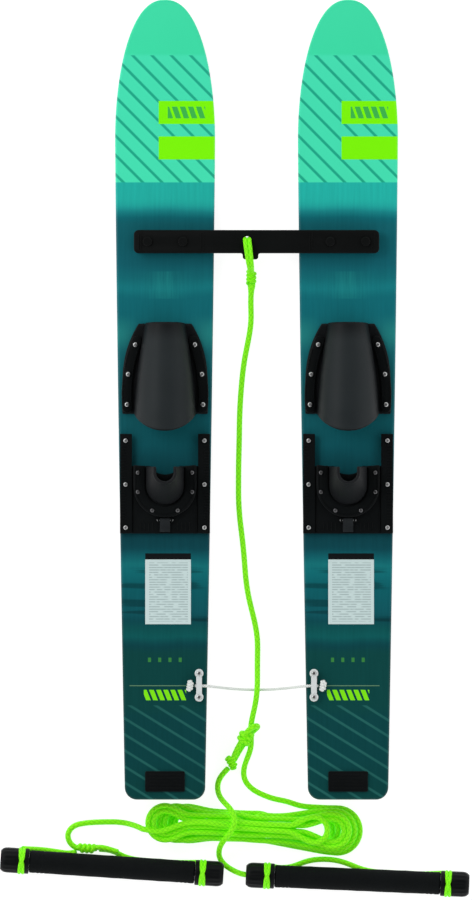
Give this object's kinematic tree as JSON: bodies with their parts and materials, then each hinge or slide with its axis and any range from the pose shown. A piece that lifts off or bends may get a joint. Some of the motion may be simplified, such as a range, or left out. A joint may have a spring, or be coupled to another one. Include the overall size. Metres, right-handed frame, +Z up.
{
  "type": "water ski pair",
  "caption": "Children's trainer water skis joined by a stabiliser bar, with rubber toe pieces, sliding heel pieces, tail cord and a tow rope with handles.",
  "frame": {"origin": "on the floor below the middle of the pair, with the skis resting deck up on their fins and bellies", "axes": "+Y towards the ski tips, +X to the rider's right, +Z up"},
  "size_m": [0.6893, 1.3181, 0.1032],
  "materials": {
    "ski_board": "glossy laminated deck graphic from mint at the tip to dark teal at the tail, black base",
    "black_plastic": "satin moulded black",
    "bar_pad": "matte black pad",
    "steel": "stainless fastener",
    "toe_rubber": "smooth black binding rubber with a soft sheen",
    "binding_plastic": "satin moulded black",
    "lever_plastic": "light grey moulded",
    "white_plastic": "white moulded cleat",
    "tail_cord": "white braided cord",
    "rope": "lime braided polyethylene rope",
    "handle_tube": "drawn tube",
    "grip_foam": "matte textured foam grip",
    "handle_cap": "satin moulded cap",
    "handle_ring": "lime braided rope whipping"
  },
  "bodies": {
    "skis": {"bar_hitch": "rope", "bar_pad_left": "bar_pad", "bar_pad_right": "bar_pad", "bar_screw_left_inner": "steel", "bar_screw_left_outer": "steel", "bar_screw_right_inner": "steel", "bar_screw_right_outer": "steel", "bridle_knot": "rope", "bridle_left_inner": "rope", "bridle_left_outer": "rope", "bridle_right": "rope", "fin_left": "black_plastic", "fin_plate_left": "black_plastic", "fin_plate_right": "black_plastic", "fin_right": "black_plastic", "handle_grip_left": "grip_foam", "handle_grip_right": "grip_foam", "handle_left_cap_left": "handle_cap", "handle_left_cap_right": "handle_cap", "handle_left_ring_left": "handle_ring", "handle_left_ring_right": "handle_ring", "handle_right_cap_left": "handle_cap", "handle_right_cap_right": "handle_cap", "handle_right_ring_left": "handle_ring", "handle_right_ring_right": "handle_ring", "handle_tube_left": "handle_tube", "handle_tube_right": "handle_tube", "heel_rail_left_inner": "binding_plastic", "heel_rail_left_outer": "binding_plastic", "heel_rail_right_inner": "binding_plastic", "heel_rail_right_outer": "binding_plastic", "rope_eye": "rope", "rope_hank": "rope", "second_rope": "rope", "ski_left": "ski_board", "ski_right": "ski_board", "stabilizer_bar": "black_plastic", "tail_cleat_left": "white_plastic", "tail_cleat_right": "white_plastic", "tail_cord": "tail_cord", "tail_cord_knot_left": "tail_cord", "tail_cord_knot_right": "tail_cord", "toe_overlay_left": "toe_rubber", "toe_overlay_right": "toe_rubber", "toe_plate_left_inner": "binding_plastic", "toe_plate_left_outer": "binding_plastic", "toe_plate_right_inner": "binding_plastic", "toe_plate_right_outer": "binding_plastic", "tow_rope": "rope", "tow_rope_tail": "rope"},
    "heel_left": {"heel_carriage_left": "binding_plastic", "heel_cup_left": "toe_rubber", "heel_clamp_left": "binding_plastic", "heel_lock_pin_left": "steel"},
    "lever_left": {"heel_lock_lever_left": "lever_plastic"},
    "heel_right": {"heel_carriage_right": "binding_plastic", "heel_cup_right": "toe_rubber", "heel_clamp_right": "binding_plastic", "heel_lock_pin_right": "steel"},
    "lever_right": {"heel_lock_lever_right": "lever_plastic"}
  },
  "joints": [
    {"name": "heel_slide_left", "type": "slide", "parent": "skis", "child": "heel_left", "axis": [0, 0.9991, -0.0435], "range_m": [0, 0.042]},
    {"name": "heel_lock_left", "type": "hinge", "parent": "heel_left", "child": "lever_left", "pos_m": [-0.1342, -0.17606, 0.0448], "axis": [-1, 0, 0], "range_deg": [0, 50], "stiffness_Nm_per_rad": 0.03, "springref_deg": -20.05},
    {"name": "heel_slide_right", "type": "slide", "parent": "skis", "child": "heel_right", "axis": [0, 0.9991, -0.0435], "range_m": [0, 0.042]},
    {"name": "heel_lock_right", "type": "hinge", "parent": "heel_right", "child": "lever_right", "pos_m": [0.1342, -0.17606, 0.0448], "axis": [-1, 0, 0], "range_deg": [0, 50], "stiffness_Nm_per_rad": 0.03, "springref_deg": -20.05}
  ]
}
